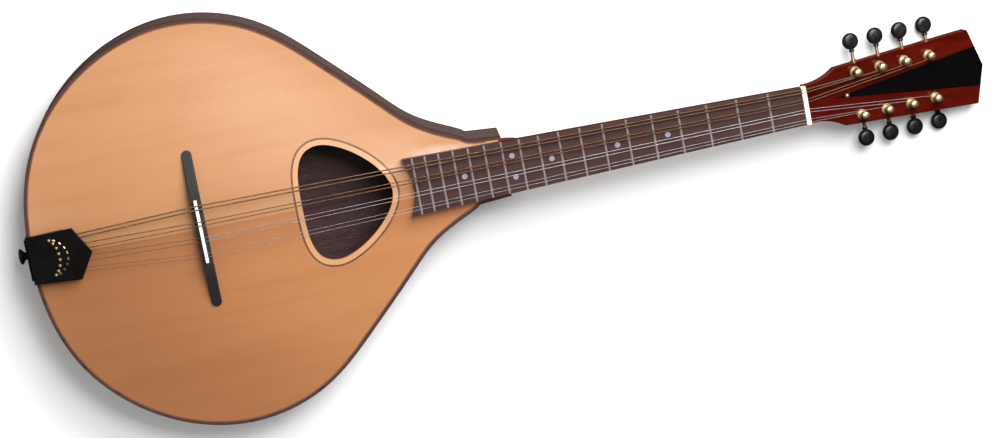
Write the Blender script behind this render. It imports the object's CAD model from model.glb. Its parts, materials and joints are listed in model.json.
"""Looks of an octave mandolin, laid out as an add-on.

Every finish is made once and given to the parts that wear it. The turned, bent and softened pieces are
made here, one operator for each group of like pieces. Metres, with the instrument lying on its back, the
head towards +X and the bass side towards +Y.
"""
import json
import math

import bmesh
import bpy
from bpy.props import FloatProperty, FloatVectorProperty, IntProperty, PointerProperty
from mathutils import Matrix, Vector


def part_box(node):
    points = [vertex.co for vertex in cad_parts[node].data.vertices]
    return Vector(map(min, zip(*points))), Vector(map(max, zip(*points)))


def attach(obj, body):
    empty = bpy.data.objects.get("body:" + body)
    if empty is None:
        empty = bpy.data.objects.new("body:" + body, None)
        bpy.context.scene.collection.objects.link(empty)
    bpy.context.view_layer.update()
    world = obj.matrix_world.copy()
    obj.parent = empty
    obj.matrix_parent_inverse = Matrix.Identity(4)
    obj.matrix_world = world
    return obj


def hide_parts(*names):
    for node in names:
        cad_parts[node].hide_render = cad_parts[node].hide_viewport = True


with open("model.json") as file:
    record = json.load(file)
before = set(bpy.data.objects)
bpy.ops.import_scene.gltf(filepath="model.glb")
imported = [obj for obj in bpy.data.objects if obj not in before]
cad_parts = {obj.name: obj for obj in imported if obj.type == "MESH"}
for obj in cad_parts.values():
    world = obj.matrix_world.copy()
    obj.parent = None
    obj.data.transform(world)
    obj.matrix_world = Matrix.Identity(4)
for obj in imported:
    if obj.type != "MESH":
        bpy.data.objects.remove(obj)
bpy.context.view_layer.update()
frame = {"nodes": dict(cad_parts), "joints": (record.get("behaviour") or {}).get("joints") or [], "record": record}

bl_info = {
    "name": "Octave Mandolin",
    "version": (1, 0, 0),
    "blender": (4, 5, 0),
    "location": "3D View > Sidebar > Mandolin",
    "description": "Finishes and fittings of an octave mandolin",
    "category": "Object",
}

mm = 0.001
ring_pitch = 1.25 * mm          # one year's growth in the soundboard
winding_pitch = 0.42 * mm       # one turn of the bronze winding
post_waist_height = 17.3 * mm   # middle of the string's turns above the post's joint
turns_room = 5.75 * mm          # height the turns may fill on the post
collar_reach = 9.5 * mm         # from the knob's middle to its collar
gauges = [radius * mm for radius in (0.60, 0.60, 0.45, 0.45, 0.17, 0.17, 0.24, 0.24)]
slot_of = {part["node"]: part["material_slot"] for part in frame["record"]["subparts"]}
joints = {joint["name"]: joint for joint in frame["joints"]}
post_up = Vector(joints["post_turn_1"]["axis"])
head_turn = post_up.to_track_quat("Z", "Y").to_matrix().to_4x4()


# ---------------------------------------------------------------- sizes and colours a user would change

def colour_property(name, description, default):
    """A colour with its label."""
    return FloatVectorProperty(name=name, description=description, default=default, subtype="COLOR",
                               size=3, min=0.0, max=1.0)


def length_property(name, description, default):
    """A length in metres with its label."""
    return FloatProperty(name=name, description=description, default=default, unit="LENGTH", min=0.0)


class MandolinSizes(bpy.types.PropertyGroup):
    """Sizes of the pieces that are made here."""
    knob_radius: length_property("Knob radius", "Radius of a tuner knob", 7.5 * mm)
    knob_half_height: length_property("Knob half height", "Half the knob's thickness", 3.4 * mm)
    knob_collar: length_property("Knob collar", "Radius of the knob's collar", 2.55 * mm)
    post_waist: length_property("Post waist", "Radius of the post where the string winds", 2.4 * mm)
    wrap_turns: IntProperty(name="String turns", description="Turns of string on a post", default=4, min=1)
    ball_radius: length_property("Ball end radius", "Outer radius of a string's ball end", 1.25 * mm)
    pin_head: length_property("End pin head", "Radius of the end pin's flared head", 7.2 * mm)
    fine_ease: length_property("Fine ease", "Rounding of small hard edges", 0.35 * mm)


class MandolinColours(bpy.types.PropertyGroup):
    """Colours of the finishes."""
    spruce_bass: colour_property("Bass spruce", "Bass half of the soundboard", (0.475, 0.225, 0.093))
    spruce_treble: colour_property("Treble spruce", "Treble half of the soundboard", (0.43, 0.185, 0.073))
    ring: colour_property("Ring maple", "Soundhole ring", (0.46, 0.255, 0.13))
    rosewood: colour_property("Rosewood", "Back and sides", (0.052, 0.025, 0.028))
    binding: colour_property("Binding", "Edge binding", (0.062, 0.030, 0.027))
    mahogany: colour_property("Mahogany", "Neck and heel", (0.11, 0.022, 0.012))
    head_face: colour_property("Head face", "Lacquered face of the head", (0.072, 0.0030, 0.0006))
    fretboard: colour_property("Fretboard", "Fretboard rosewood", (0.045, 0.019, 0.018))
    gold: colour_property("Gold plate", "Posts, shafts and plates", (0.90, 0.71, 0.43))
    floor: colour_property("Floor", "Studio floor", (0.90, 0.90, 0.90))


class MandolinStudio(bpy.types.PropertyGroup):
    """Camera and lights."""
    camera_place: FloatVectorProperty(name="Camera place", description="Where the camera stands",
                                      default=(-0.10831, 0.50504, 2.92568), subtype="TRANSLATION")
    camera_turn: FloatVectorProperty(name="Camera turn", description="How the camera is turned",
                                     default=[math.radians(a) for a in (-10.2879, -3.8753, -10.7045)],
                                     subtype="EULER")
    lens: FloatProperty(name="Lens", description="Focal length", default=121.185, unit="CAMERA")
    key_power: FloatProperty(name="Key light", description="Power of the large light", default=34.0,
                             unit="POWER")
    top_power: FloatProperty(name="Top light", description="Power of the light high above the bass side",
                             default=27.0, unit="POWER")
    sky: FloatProperty(name="Sky", description="Strength of the even light from all round", default=0.50)


# ---------------------------------------------------------------- shader arithmetic

class Wire:
    """A shader value that answers to arithmetic by adding Math nodes."""

    def __init__(self, finish, socket):
        self.finish, self.socket = finish, socket

    def __add__(self, other):
        return self.finish.math("ADD", self, other)

    def __sub__(self, other):
        return self.finish.math("SUBTRACT", self, other)

    def __rsub__(self, other):
        return self.finish.math("SUBTRACT", other, self)

    def __mul__(self, other):
        return self.finish.math("MULTIPLY", self, other)

    __radd__ = __add__
    __rmul__ = __mul__


class Finish:
    """A material while its nodes are being put together."""

    def __init__(self, name):
        self.material = bpy.data.materials.new(name)
        self.material.use_nodes = True
        self.tree = self.material.node_tree
        self.tree.nodes.clear()
        self.point = self.node("ShaderNodeTexCoord", output="Object")

    def node(self, kind, settings=None, sockets=None, output=0):
        """Adds a node: its settings first, then the values or links of its sockets."""
        made = self.tree.nodes.new(kind)
        for key, value in (settings or {}).items():
            setattr(made, key, value)
        for key, value in (sockets or {}).items():
            if isinstance(value, Wire):
                self.tree.links.new(value.socket, made.inputs[key])
            else:
                made.inputs[key].default_value = value
        return Wire(self, made.outputs[output] if made.outputs else None)

    def math(self, operation, *values):
        """A Math node on one to three values."""
        return self.node("ShaderNodeMath", {"operation": operation}, dict(enumerate(values)))

    def vector(self, operation, *values):
        """A Vector Math node."""
        return self.node("ShaderNodeVectorMath", {"operation": operation}, dict(enumerate(values)))

    def stretched(self, point, scale, shift=(0, 0, 0)):
        """The point scaled and moved by a Mapping node."""
        return self.node("ShaderNodeMapping", None, {"Vector": point, "Scale": scale, "Location": shift})

    def noise(self, point, scale, detail=3.0, roughness=0.5, distortion=0.0):
        """Soft random pattern, scale in repeats for each metre along x, y and z."""
        place = self.stretched(point, scale)
        return self.node("ShaderNodeTexNoise", None, {"Vector": place, "Scale": 1.0, "Detail": detail,
                                                      "Roughness": roughness, "Distortion": distortion})

    def between(self, value, low, high):
        """0 below low, 1 above high, smooth between them."""
        return self.node("ShaderNodeMapRange", {"interpolation_type": "SMOOTHSTEP"},
                         {0: value, 1: low, 2: high, 3: 0.0, 4: 1.0})

    def blend(self, amount, first, second, mode="MIX"):
        """Two colours through a Mix node."""
        return self.node("ShaderNodeMix", {"data_type": "RGBA", "blend_type": mode},
                         {0: amount, 6: self.paint(first), 7: self.paint(second)}, 2)

    @staticmethod
    def paint(colour):
        """A wire as it is, or a plain colour with its alpha."""
        return colour if isinstance(colour, Wire) else (*colour[:3], 1.0)

    def worn_edge(self, width):
        """1 on hard outer edges, 0 on open faces: the turn from the true normal to a rounded one."""
        rounded = self.node("ShaderNodeBevel", {"samples": 4}, {"Radius": width})
        true = self.node("ShaderNodeNewGeometry", output="Normal")
        alike = self.node("ShaderNodeVectorMath", {"operation": "DOT_PRODUCT"}, {0: rounded, 1: true}, 1)
        return self.between(1.0 - alike, 0.02, 0.22)

    def surface(self, sockets, height=None, relief=0.0):
        """Ends the material in a Principled shader, with a bump if a height is given."""
        sockets = {**sockets, "Base Color": self.paint(sockets["Base Color"])}
        if height is not None:
            sockets["Normal"] = self.node("ShaderNodeBump", None,
                                          {"Strength": 1.0, "Distance": relief, "Height": height})
        shader = self.node("ShaderNodeBsdfPrincipled", None, sockets)
        self.node("ShaderNodeOutputMaterial", None, {"Surface": shader})
        return self.material


def darker(colour, share):
    """A colour multiplied by a share of its brightness."""
    return tuple(channel * share for channel in colour)


def shifted(colour, by):
    """A colour multiplied channel by channel."""
    return tuple(channel * factor for channel, factor in zip(colour, by))


# ---------------------------------------------------------------- finishes

def spruce(name, colour, coat, sheen=0.5, toning=0.0):
    """Close-grained softwood: annual lines along x, narrower at the centre joint, with silk across them.

    Toning darkens it towards the tail and the rim.
    """
    f = Finish(name)
    folded = f.vector("ABSOLUTE", f.point)
    drift = f.noise(folded, (5, 9, 5), 2.0) * 0.010
    across = f.node("ShaderNodeSeparateXYZ", None, {0: folded}, 1)
    swayed = across + drift
    widening = swayed - swayed * across * 1.6
    lines = f.math("SINE", widening * (2 * math.pi / ring_pitch))
    year = f.noise(folded, (3, 420, 3), 2.0, 0.6)
    band = f.noise(folded, (2.2, 46, 2.2), 3.0, 0.55, 0.2)
    cloud = f.noise(f.point, (9, 14, 9), 3.0, 0.5)
    silk = f.between(f.noise(f.point, (260, 34, 260), 2.0, 0.6, 0.8), 0.52, 0.70)
    late = f.between(lines * 0.5 + year, 0.35, 1.10)
    tone = f.blend(late * 0.34, colour, shifted(colour, (0.80, 0.62, 0.45)))
    tone = f.blend(f.between(band, 0.38, 0.68) * 0.55, tone, shifted(colour, (0.86, 0.76, 0.64)))
    tone = f.blend(f.between(cloud, 0.40, 0.72) * 0.30, tone, shifted(colour, (1.08, 1.10, 1.14)))
    tone = f.blend(silk * 0.10, tone, shifted(colour, (1.12, 1.16, 1.22)))
    if toning:
        along = f.node("ShaderNodeSeparateXYZ", None, {0: f.point})
        toned = shifted(colour, (0.50, 0.42, 0.36))
        tone = f.blend(f.between(along, -0.13, -0.42) * toning, tone, toned)
        tone = f.blend(f.between(across, 0.07, 0.19) * toning * 0.6, tone, toned)
    rough = 0.38 + late * 0.10 - silk * 0.06 + cloud * 0.05
    return f.surface({"Base Color": tone, "Roughness": rough, "Coat Weight": coat, "Coat Roughness": 0.32,
                      "Specular IOR Level": sheen}, late * 0.6 + band * 0.4, 0.00005)


def dark_wood(name, colour, streak, fibre, pore, roughness, coat, coat_roughness=0.2, folded=False,
              figure=0.55, relief=0.00008, wear=0.0, pores=0.5, sheen=0.5):
    """Open-grained hardwood: streaks, fine fibre and short dark pores, each with its own stretch."""
    f = Finish(name)
    point = f.vector("ABSOLUTE", f.point) if folded else f.point
    sway = f.noise(point, tuple(s * 0.25 for s in streak), 2.0)
    bent = f.vector("ADD", point, f.node("ShaderNodeCombineXYZ", None, {1: sway * 0.02, 2: sway * 0.01}))
    streaks = f.between(f.noise(bent, streak, 4.0, 0.6), 0.36, 0.66)
    fibres = f.noise(point, fibre, 3.0, 0.65)
    holes = f.between(f.noise(point, pore, 2.0, 0.5), 0.60, 0.70)
    tone = f.blend(streaks * figure, shifted(colour, (1.22, 1.14, 1.06)),
                   shifted(colour, (0.52, 0.44, 0.44)))
    tone = f.blend(f.between(fibres, 0.35, 0.75) * 0.5, tone, shifted(colour, (1.35, 1.18, 1.05)))
    tone = f.blend(holes * pores, tone, darker(colour, 0.22))
    rough = roughness + fibres * 0.10 + holes * 0.12
    if wear:
        edge = f.worn_edge(wear)
        tone = f.blend(edge * 0.35, tone, shifted(colour, (1.9, 1.7, 1.5)))
        rough = rough + edge * 0.05
    return f.surface({"Base Color": tone, "Roughness": rough, "Coat Weight": coat,
                      "Coat Roughness": coat_roughness, "Specular IOR Level": sheen},
                     fibres * 0.35 - holes * 0.65, relief)


def gloss_lacquer(name, colour):
    """Deep coloured lacquer over figured wood: faint flame under a hard clear coat."""
    f = Finish(name)
    flame = f.between(f.noise(f.point, (16, 120, 16), 4.0, 0.6, 0.4), 0.34, 0.70)
    cloud = f.noise(f.point, (22, 22, 22), 3.0)
    fibre = f.noise(f.point, (40, 1500, 900), 2.0)
    tone = f.blend(flame * 0.65, shifted(colour, (0.62, 0.55, 0.55)), shifted(colour, (1.45, 1.5, 1.5)))
    tone = f.blend(cloud * 0.35, tone, shifted(colour, (0.7, 0.6, 0.6)))
    smear = f.noise(f.point, (60, 60, 60), 3.0, 0.6)
    return f.surface({"Base Color": tone, "Roughness": 0.16 + smear * 0.12, "Coat Weight": 0.35,
                      "Coat Roughness": 0.06, "Specular IOR Level": 0.3},
                     cloud * 0.6 + fibre * 0.1, 0.00010)


def polished_metal(name, colour, roughness, brush, tarnish, wear=0.0, metallic=1.0):
    """Plated or bare metal: brushing marks, a breath of tarnish and brighter rubbed edges."""
    f = Finish(name)
    marks = f.noise(f.point, brush, 3.0, 0.6)
    breath = f.between(f.noise(f.point, (140, 140, 140), 4.0, 0.6), 0.42, 0.72)
    specks = f.between(f.noise(f.point, (1500, 1500, 1500), 2.0), 0.66, 0.74)
    tone = f.blend(breath * 0.5, colour, tarnish)
    tone = f.blend(specks * 0.35, tone, darker(tarnish, 0.5))
    rough = roughness + marks * 0.12 + breath * 0.10
    if wear:
        edge = f.worn_edge(wear)
        tone = f.blend(edge * 0.6, tone, shifted(colour, (1.12, 1.12, 1.12)))
        rough = rough - edge * 0.06
    return f.surface({"Base Color": tone, "Roughness": rough, "Metallic": metallic},
                     marks * 0.7 + specks * 0.3, 0.00002)


def black_plate(name):
    """Black plated steel with fine scratches and edges rubbed down to dull brown."""
    f = Finish(name)
    scratch = f.between(f.noise(f.point, (240, 1700, 900), 2.0, 0.6, 0.5), 0.62, 0.72)
    cloud = f.noise(f.point, (70, 70, 70), 3.0)
    edge = f.worn_edge(0.0007)
    tone = f.blend(cloud, (0.0022, 0.0018, 0.0018), (0.0065, 0.0050, 0.0046))
    tone = f.blend(edge * 0.55, tone, (0.085, 0.062, 0.045))
    rough = 0.30 + cloud * 0.14 + scratch * 0.10 - edge * 0.05
    return f.surface({"Base Color": tone, "Roughness": rough, "Metallic": 0.2}, scratch, 0.00002)


def moulded_knob(name):
    """Black moulded knob: satin skin with handling marks and a finely pebbled surface."""
    f = Finish(name)
    pebble = f.noise(f.point, (2600, 2600, 2600), 2.0, 0.5)
    smear = f.between(f.noise(f.point, (170, 120, 170), 3.0, 0.6, 0.6), 0.40, 0.70)
    tone = f.blend(smear, (0.0050, 0.0044, 0.0052), (0.011, 0.0096, 0.012))
    return f.surface({"Base Color": tone, "Roughness": 0.30 + smear * 0.16 + pebble * 0.06},
                     pebble * 0.5 + smear * 0.3, 0.00003)


def wound_string(name):
    """Bronze winding on a steel core: a fine wrap along the string, brighter on its crowns."""
    f = Finish(name)
    along = f.node("ShaderNodeSeparateXYZ", None, {0: f.point})
    wrap = f.math("SINE", along * (2 * math.pi / winding_pitch)) * 0.5 + 0.5
    age = f.between(f.noise(f.point, (45, 400, 400), 3.0, 0.6), 0.36, 0.70)
    tone = f.blend(age * 0.6, (0.36, 0.21, 0.12), (0.20, 0.105, 0.06))
    tone = f.blend((1.0 - wrap) * 0.55, tone, (0.10, 0.052, 0.03))
    return f.surface({"Base Color": tone, "Roughness": 0.30 + age * 0.16, "Metallic": 1.0}, wrap, 0.00006)


def pearl(name):
    """Shell: drifting pale bands of blue, green and rose under polish."""
    f = Finish(name)
    bands = f.noise(f.point, (260, 520, 260), 3.0, 0.6, 2.2)
    hue = f.noise(f.point, (420, 300, 300), 2.0, 0.5, 1.0)
    tone = f.blend(f.between(bands, 0.35, 0.65), (0.22, 0.23, 0.30), (0.32, 0.31, 0.37))
    tone = f.blend(f.between(hue, 0.50, 0.70) * 0.6, tone, (0.32, 0.22, 0.30))
    tone = f.blend(f.between(hue, 0.45, 0.30) * 0.5, tone, (0.16, 0.26, 0.28))
    return f.surface({"Base Color": tone, "Roughness": 0.10 + bands * 0.14, "Coat Weight": 0.6,
                      "Coat Roughness": 0.06}, bands, 0.00002)


def bone(name):
    """Bone: ivory white with faint fine canals along its length."""
    f = Finish(name)
    canals = f.between(f.noise(f.point, (900, 130, 900), 3.0, 0.6), 0.56, 0.72)
    warmth = f.noise(f.point, (60, 60, 60), 3.0)
    edge = f.worn_edge(0.0005)
    tone = f.blend(warmth, (0.86, 0.83, 0.76), (0.93, 0.91, 0.86))
    tone = f.blend(canals * 0.30, tone, (0.62, 0.52, 0.38))
    return f.surface({"Base Color": tone, "Roughness": 0.24 + canals * 0.12 + edge * 0.04,
                      "Subsurface Weight": 0.08}, canals * 0.6, 0.00002)


def floor_paint(name, colour):
    """Matt pale floor with the faintest mottling."""
    f = Finish(name)
    mottle = f.noise(f.point, (6, 6, 6), 4.0)
    tone = f.blend(mottle * 0.5, colour, darker(colour, 0.985))
    return f.surface({"Base Color": tone, "Roughness": 0.72 + mottle * 0.1}, mottle, 0.0002)


def dress(finish, nodes):
    """Gives the named parts one finish."""
    for name in nodes:
        for material_slot in frame["nodes"][name].material_slots:
            material_slot.material = finish


def wearing(*slots):
    """The parts that the record gives any of these slots."""
    return [node for node, worn in slot_of.items() if worn in slots]


# ---------------------------------------------------------------- making pieces

def keep_piece(bm, name, body, finish, replaced=(), rounding=0, sharp=40.0):
    """Turns a finished bmesh into a named piece that rides on its body."""
    bmesh.ops.recalc_face_normals(bm, faces=bm.faces)
    mesh = bpy.data.meshes.new(name)
    bm.to_mesh(mesh)
    bm.free()
    mesh.shade_smooth()
    mesh.set_sharp_from_angle(angle=math.radians(sharp))
    mesh.materials.append(bpy.data.materials[finish])
    piece = bpy.data.objects.new(name, mesh)
    bpy.context.scene.collection.objects.link(piece)
    if rounding:
        subdivision = piece.modifiers.new("Rounding", "SUBSURF")
        subdivision.levels = subdivision.render_levels = rounding
    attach(piece, body)
    if replaced:
        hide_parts(*replaced)
    return piece


def turn_profile(bm, profile, place, steps, closed=False):
    """Spins a profile of (radius, height) once round Z into the bmesh and moves it to its place."""
    older = set(bm.verts)
    points = [bm.verts.new((radius, 0, height)) for radius, height in profile]
    followers = points[1:] + points[:1] if closed else points[1:]
    edges = [bm.edges.new(pair) for pair in zip(points, followers)]
    bmesh.ops.spin(bm, geom=points + edges, cent=(0, 0, 0), axis=(0, 0, 1), dvec=(0, 0, 0),
                   angle=2 * math.pi, steps=steps, use_merge=True)
    turned = [vert for vert in bm.verts if vert not in older]
    bmesh.ops.transform(bm, matrix=place, verts=turned)
    bmesh.ops.remove_doubles(bm, verts=turned, dist=1e-6)


def softened(node, name, ease, segments, finish, sharp_from=32.0, angle=40.0):
    """A copy of a part with its hard edges eased, which stands for that part."""
    bm = bmesh.new()
    bm.from_mesh(frame["nodes"][node].data)
    bmesh.ops.remove_doubles(bm, verts=bm.verts, dist=2e-6)
    bmesh.ops.dissolve_limit(bm, angle_limit=math.radians(0.6), verts=bm.verts, edges=bm.edges)
    hard = [edge for edge in bm.edges if len(edge.link_faces) == 2
            and edge.calc_face_angle(0.0) > math.radians(sharp_from)]
    bmesh.ops.bevel(bm, geom=hard, offset=ease, offset_type="OFFSET", affect="EDGES", segments=segments,
                    profile=0.5, clamp_overlap=True, material=-1)
    piece = keep_piece(bm, name, "instrument", finish, [node], sharp=angle)
    piece.modifiers.new("Even shading", "WEIGHTED_NORMAL").keep_sharp = True
    return piece


# ---------------------------------------------------------------- operators

class FinishBody(bpy.types.Operator):
    """Soundboard, back, sides, bindings and everything inside the body"""
    bl_idname = "mandolin.finish_body"
    bl_label = "Body woods"

    def execute(self, context):
        colours = context.scene.mandolin_colours
        dress(spruce("spruce_bass", tuple(colours.spruce_bass), 0.65, 0.6), ["soundboard_bass"])
        dress(spruce("spruce_treble", tuple(colours.spruce_treble), 0.05, 0.3, 0.55),
              ["soundboard_treble"])
        dress(dark_wood("ring_maple", tuple(colours.ring), (30, 40, 30), (500, 900, 500), (90, 900, 90),
                        0.30, 0.4, figure=0.12, pores=0.05), wearing("ring_wood"))
        dress(dark_wood("dark_line", (0.16, 0.075, 0.04), (8, 90, 60), (40, 900, 900), (60, 1500, 1500),
                        0.32, 0.3), wearing("dark_line"))
        rosewood = tuple(colours.rosewood)
        dress(dark_wood("rosewood_back", rosewood, (2.5, 55, 20), (30, 900, 500), (90, 1700, 900),
                        0.28, 0.45,
                        folded=True), ["back"])
        dress(dark_wood("rosewood_sides", shifted(rosewood, (1.8, 2.7, 2.3)), (3, 3, 120), (18, 18, 1300),
                        (60, 60, 1800), 0.34, 0.15, sheen=0.2), ["side_bass", "side_treble"])
        dress(dark_wood("binding_rosewood", tuple(colours.binding), (12, 12, 160), (60, 60, 1300),
                        (90, 90, 1800), 0.30, 0.2, figure=0.35, sheen=0.3), wearing("binding_wood"))
        dress(spruce("inner_spruce", (0.72, 0.53, 0.33), 0.0), wearing("inner_spruce"))
        return {"FINISHED"}


class FinishNeck(bpy.types.Operator):
    """Neck, head, fretboard, bridge wood and black trim"""
    bl_idname = "mandolin.finish_neck"
    bl_label = "Neck woods"

    def execute(self, context):
        colours = context.scene.mandolin_colours
        dress(dark_wood("mahogany", tuple(colours.mahogany), (3, 60, 40), (26, 900, 900), (110, 1500, 1500),
                        0.30, 0.3, figure=0.45, pores=0.4, sheen=0.3), wearing("neck_wood"))
        dress(gloss_lacquer("head_lacquer", tuple(colours.head_face)), wearing("head_face"))
        dress(dark_wood("ebony", (0.0045, 0.0036, 0.0036), (4, 90, 60), (30, 1200, 1200), (80, 1700, 1700),
                        0.22, 0.3, 0.12, figure=0.5, relief=0.00002, wear=0.0006), wearing("ebony"))
        dress(dark_wood("black_inlay", (0.0018, 0.0015, 0.0017), (4, 90, 60), (30, 1200, 1200),
                        (80, 1700, 1700), 0.14, 0.1, 0.08, figure=0.5, relief=0.00001, sheen=0.25),
              ["headstock_wedge"])
        dress(dark_wood("oiled_rosewood", tuple(colours.fretboard), (3, 130, 60), (24, 1100, 900),
                        (70, 1500, 1500), 0.38, 0.05, 0.35, figure=0.6, relief=0.00012, wear=0.0005,
                        sheen=0.3),
              wearing("fretboard_wood"))
        dress(bone("bone"), wearing("bone"))
        dress(pearl("pearl"), wearing("pearl"))
        return {"FINISHED"}


class FinishMetal(bpy.types.Operator):
    """Frets, tuners, tailpiece, strings and the rod in the neck"""
    bl_idname = "mandolin.finish_metal"
    bl_label = "Metals and knobs"

    def execute(self, context):
        gold = tuple(context.scene.mandolin_colours.gold)
        dress(polished_metal("gold_plate", gold, 0.32, (500, 500, 500), (0.62, 0.46, 0.26), wear=0.0004),
              wearing("gold_metal"))
        dress(polished_metal("nickel_silver", (0.36, 0.29, 0.31), 0.34, (2500, 60, 900), (0.28, 0.24, 0.24),
                             metallic=0.55),
              wearing("fret_wire"))
        dress(black_plate("black_plate"), wearing("black_metal"))
        dress(moulded_knob("moulded_knob"), wearing("black_button"))
        dress(wound_string("bronze_winding"), wearing("bronze_string"))
        dress(polished_metal("plain_steel", (0.40, 0.38, 0.38), 0.32, (60, 2200, 2200), (0.28, 0.25, 0.23)),
              wearing("steel_string"))
        dress(polished_metal("rod_steel", (0.42, 0.42, 0.43), 0.34, (40, 1500, 1500), (0.25, 0.20, 0.16)),
              wearing("steel_rod"))
        return {"FINISHED"}


class TunerKnobs(bpy.types.Operator):
    """Eight turned knobs, each with a collar towards the head"""
    bl_idname = "mandolin.tuner_knobs"
    bl_label = "Tuner knobs"

    def execute(self, context):
        sizes = context.scene.mandolin_sizes
        r, h, c = sizes.knob_radius, sizes.knob_half_height, sizes.knob_collar
        disc = [(0, -h), (0.45 * r, -h), (0.80 * r, -0.86 * h), (r, -0.36 * h), (r, 0.36 * h),
                (0.80 * r, 0.86 * h), (0.45 * r, h), (0, h)]
        collar = [(0, 0), (c, 0), (c, 1.0 * mm), (0.78 * c, 1.8 * mm), (0.80 * c, 3.0 * mm),
                  (1.25 * c, 5.2 * mm), (0, 5.6 * mm)]
        for number in range(1, 9):
            joint = joints[f"button_turn_{number}"]
            side = 1 if number < 5 else -1
            centre = Matrix.Translation(joint["pos_m"])
            bm = bmesh.new()
            turn_profile(bm, disc, centre @ head_turn, 32)
            quarter = Matrix.Rotation(-side * math.pi / 2, 4, "X")
            outward = Matrix.Translation((0, -side * collar_reach, 0)) @ quarter
            turn_profile(bm, collar, centre @ outward, 24)
            keep_piece(bm, f"tuner_knob_{number}", f"tuner_button_{number}", "moulded_knob",
                       [f"button_{number}"], rounding=1, sharp=180.0)
        return {"FINISHED"}


class StringWraps(bpy.types.Operator):
    """The turns of string wound on each post"""
    bl_idname = "mandolin.string_wraps"
    bl_label = "String wraps"

    def execute(self, context):
        sizes = context.scene.mandolin_sizes
        for number, wire in enumerate(gauges, 1):
            bronze = number < 5
            turns = sizes.wrap_turns + (0 if bronze else 2)
            low = turns_room - turns * wire
            bm = bmesh.new()
            bmesh.ops.create_circle(bm, cap_ends=False, segments=10, radius=wire,
                                    matrix=Matrix.Translation((sizes.post_waist + wire, 0, low))
                                    @ Matrix.Rotation(math.pi / 2, 4, "X"))
            start = list(bm.edges)
            steps = 28 * turns
            made = bmesh.ops.spin(bm, geom=list(bm.verts) + start, cent=(0, 0, 0), axis=(0, 0, 1),
                                  dvec=(0, 0, 2.02 * wire * turns / steps), angle=2 * math.pi * turns,
                                  steps=steps)
            last = [item for item in made["geom_last"] if isinstance(item, bmesh.types.BMEdge)]
            bmesh.ops.holes_fill(bm, edges=start, sides=0)
            bmesh.ops.holes_fill(bm, edges=last, sides=0)
            centre = Vector(joints[f"post_turn_{number}"]["pos_m"]) + post_up * post_waist_height
            if not bronze:
                bmesh.ops.transform(bm, matrix=Matrix.Scale(-1, 4, (0, 1, 0)), verts=bm.verts)
            bmesh.ops.transform(bm, matrix=Matrix.Translation(centre) @ head_turn, verts=bm.verts)
            keep_piece(bm, f"string_wrap_{number}", f"string_post_{number}",
                       "bronze_winding" if bronze else "plain_steel",
                       sharp=60.0)
        return {"FINISHED"}


class BallEnds(bpy.types.Operator):
    """Eight ball ends that sit in the tailpiece cover, in an arc in front of the studs"""
    bl_idname = "mandolin.ball_ends"
    bl_label = "Ball ends"

    def execute(self, context):
        r = context.scene.mandolin_sizes.ball_radius
        spool = [(0.42 * r, -0.80 * r), (0.92 * r, -0.80 * r), (r, -0.50 * r), (0.80 * r, 0),
                 (r, 0.50 * r), (0.92 * r, 0.80 * r), (0.42 * r, 0.80 * r)]
        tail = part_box("end_pin")[0].x + 10.2 * mm
        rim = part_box("top_binding")[1].z
        arc_start, arc_length, arc_width, height = 17.0 * mm, 19.5 * mm, 17.0 * mm, 6.05 * mm
        step, lean = math.radians(17.0), math.radians(-8.0)
        foot = Matrix.Translation((tail, 0, rim + 0.8 * mm)) @ Matrix.Rotation(lean, 4, "Y")
        for number in range(8):
            angle = step * (3.5 - number)
            place = foot @ Matrix.Translation((arc_start + arc_length * math.cos(angle),
                                               arc_width * math.sin(angle), height))
            bm = bmesh.new()
            turn_profile(bm, spool, place @ Matrix.Rotation(angle, 4, "Z")
                         @ Matrix.Rotation(math.pi / 2, 4, "X"), 18, closed=True)
            keep_piece(bm, f"ball_end_{number + 1}", "instrument", "gold_plate", sharp=50.0)
        return {"FINISHED"}


class EndPin(bpy.types.Operator):
    """The turned pin in the tail with its flared head"""
    bl_idname = "mandolin.end_pin"
    bl_label = "End pin"

    def execute(self, context):
        low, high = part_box("end_pin")
        r = context.scene.mandolin_sizes.pin_head
        profile = [(0, 0), (0.45 * r, 0.2 * mm), (0.88 * r, 0.7 * mm), (r, 1.9 * mm), (0.97 * r, 2.7 * mm),
                   (0.70 * r, 4.2 * mm), (0.46 * r, 5.6 * mm), (0.45 * r, 7.4 * mm), (0.60 * r, 8.8 * mm),
                   (0.78 * r, 9.4 * mm), (0.78 * r, 10.1 * mm), (0.48 * r, 10.3 * mm),
                   (0.42 * r, 30.0 * mm), (0, 30.0 * mm)]
        bm = bmesh.new()
        middle = (low + high) / 2
        turn_profile(bm, profile, Matrix.Translation((low.x, middle.y, middle.z))
                     @ Matrix.Rotation(math.pi / 2, 4, "Y"), 40)
        keep_piece(bm, "end_pin_turned", "instrument", "ebony", ["end_pin"], rounding=1,
                   sharp=70.0)
        return {"FINISHED"}


class EasedEdges(bpy.types.Operator):
    """Bridge, saddle, nut, tailpiece cover and heel cap with their hard edges eased"""
    bl_idname = "mandolin.eased_edges"
    bl_label = "Eased edges"

    def execute(self, context):
        fine = context.scene.mandolin_sizes.fine_ease
        for node, ease, segments, finish in (
                ("bridge", 0.8 * mm, 3, "ebony"), ("saddle", fine, 2, "bone"), ("nut", 0.2 * mm, 2, "bone"),
                ("tailpiece_cover", fine, 2, "black_plate"), ("heel_cap", 0.6 * mm, 3, None)):
            worn = finish or frame["nodes"][node].material_slots[0].material.name
            softened(node, node + "_eased", ease, segments, worn)
        return {"FINISHED"}


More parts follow.
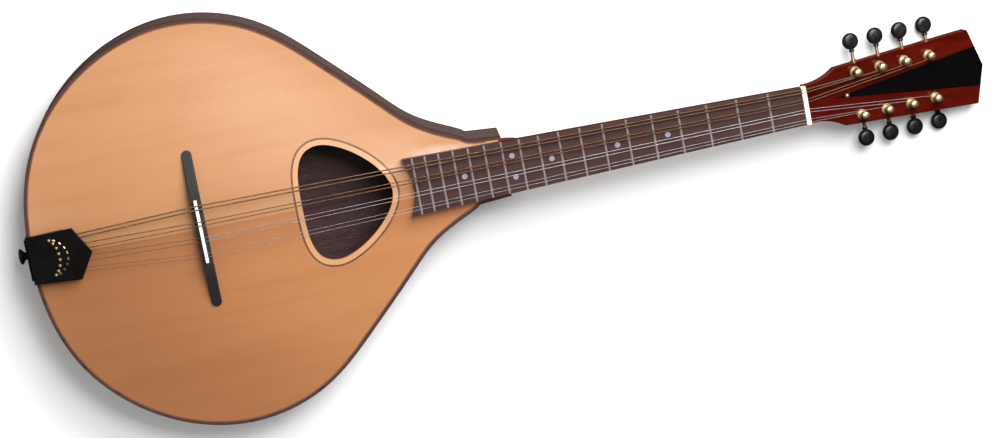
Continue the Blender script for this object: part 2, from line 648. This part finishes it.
class Studio(bpy.types.Operator):
    """Pale floor, soft lights and the camera"""
    bl_idname = "mandolin.studio"
    bl_label = "Studio"

    def execute(self, context):
        scene = context.scene
        studio, colours = scene.mandolin_studio, scene.mandolin_colours
        bm = bmesh.new()
        bmesh.ops.create_grid(bm, x_segments=1, y_segments=1, size=6.0)
        bmesh.ops.translate(bm, vec=(0, 0, -0.2 * mm), verts=bm.verts)
        mesh = bpy.data.meshes.new("studio_floor")
        bm.to_mesh(mesh)
        bm.free()
        mesh.materials.append(floor_paint("floor_paint", tuple(colours.floor)))
        ground = bpy.data.objects.new("studio_floor", mesh)
        ground.visible_glossy = False
        scene.collection.objects.link(ground)

        self.light(scene, "key_light", studio.key_power, (0.60, 1.05, 1.15), (-0.10, 0.0, 0.0), 1.1, 0.9)
        self.light(scene, "top_light", studio.top_power, (0.40, 0.75, 2.0), (0.0, 0.05, 0.0), 0.9, 0.6)

        world = bpy.data.worlds.new("even_light")
        world.use_nodes = True
        world.node_tree.nodes["Background"].inputs["Color"].default_value = (1.0, 0.99, 0.98, 1.0)
        world.node_tree.nodes["Background"].inputs["Strength"].default_value = studio.sky
        scene.world = world
        world.cycles_visibility.glossy = False
        scene.view_settings.view_transform = "Standard"

        camera = bpy.data.cameras.new("studio_camera")
        camera.lens, camera.sensor_width = studio.lens, 36.0
        camera.clip_end = 20.0
        stand = bpy.data.objects.new("studio_camera", camera)
        stand.location = studio.camera_place
        stand.rotation_euler = studio.camera_turn
        scene.collection.objects.link(stand)
        scene.camera = stand
        return {"FINISHED"}

    @staticmethod
    def light(scene, name, power, place, aim, width, depth):
        """A soft rectangular light aimed at a point."""
        lamp = bpy.data.lights.new(name, "AREA")
        lamp.energy, lamp.shape, lamp.size, lamp.size_y = power, "RECTANGLE", width, depth
        holder = bpy.data.objects.new(name, lamp)
        holder.location = place
        holder.rotation_euler = (Vector(aim) - Vector(place)).to_track_quat("-Z", "Y").to_euler()
        scene.collection.objects.link(holder)


class MandolinPanel(bpy.types.Panel):
    """Lists every step in the 3D view's sidebar"""
    bl_idname = "VIEW3D_PT_mandolin"
    bl_label = "Octave Mandolin"
    bl_space_type = "VIEW_3D"
    bl_region_type = "UI"
    bl_category = "Mandolin"

    def draw(self, context):
        column = self.layout.column()
        for step in steps:
            column.operator(step.bl_idname)
        for group in ("mandolin_sizes", "mandolin_colours", "mandolin_studio"):
            settings = getattr(context.scene, group)
            for name in settings.__annotations__:
                column.prop(settings, name)


steps = (FinishBody, FinishNeck, FinishMetal, TunerKnobs, StringWraps, BallEnds, EndPin, EasedEdges, Studio)
groups = {"mandolin_sizes": MandolinSizes, "mandolin_colours": MandolinColours,
          "mandolin_studio": MandolinStudio}


def register():
    """Registers the settings, the steps and the panel."""
    for kind in (*groups.values(), *steps, MandolinPanel):
        bpy.utils.register_class(kind)
    for name, kind in groups.items():
        setattr(bpy.types.Scene, name, PointerProperty(type=kind))


def unregister():
    """Takes them away again."""
    for name in groups:
        delattr(bpy.types.Scene, name)
    for kind in reversed((*groups.values(), *steps, MandolinPanel)):
        bpy.utils.unregister_class(kind)


def main():
    """Runs every step in order."""
    register()
    for step in steps:
        area, name = step.bl_idname.split(".")
        getattr(getattr(bpy.ops, area), name)()


if __name__ == "__main__":
    main()
